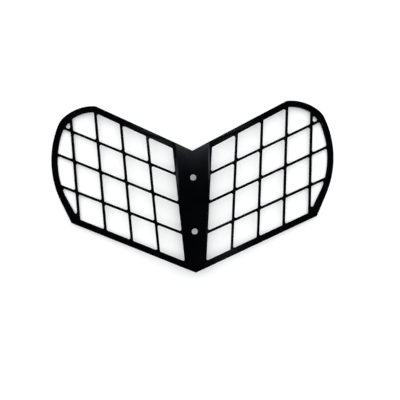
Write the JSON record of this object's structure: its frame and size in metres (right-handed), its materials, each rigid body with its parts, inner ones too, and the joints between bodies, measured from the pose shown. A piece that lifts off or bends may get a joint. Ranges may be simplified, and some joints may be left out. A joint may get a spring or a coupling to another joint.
{
  "type": "motorcycle headlight grille",
  "caption": "V-shaped sheet-metal headlight grille with a lattice on each wing and a solid, drilled centre plate between soft folds.",
  "frame": {"origin": "midway between the two fixing holes, on the back face of the centre plate", "axes": "+X across the headlight, +Y up towards the notch, +Z out of the front face, along the fixing holes"},
  "size_m": [0.2902, 0.1708, 0.0154],
  "materials": {
    "black_coat": "satin black powder coat"
  },
  "bodies": {
    "root": {"grille_plate": "black_coat"}
  },
  "joints": []
}
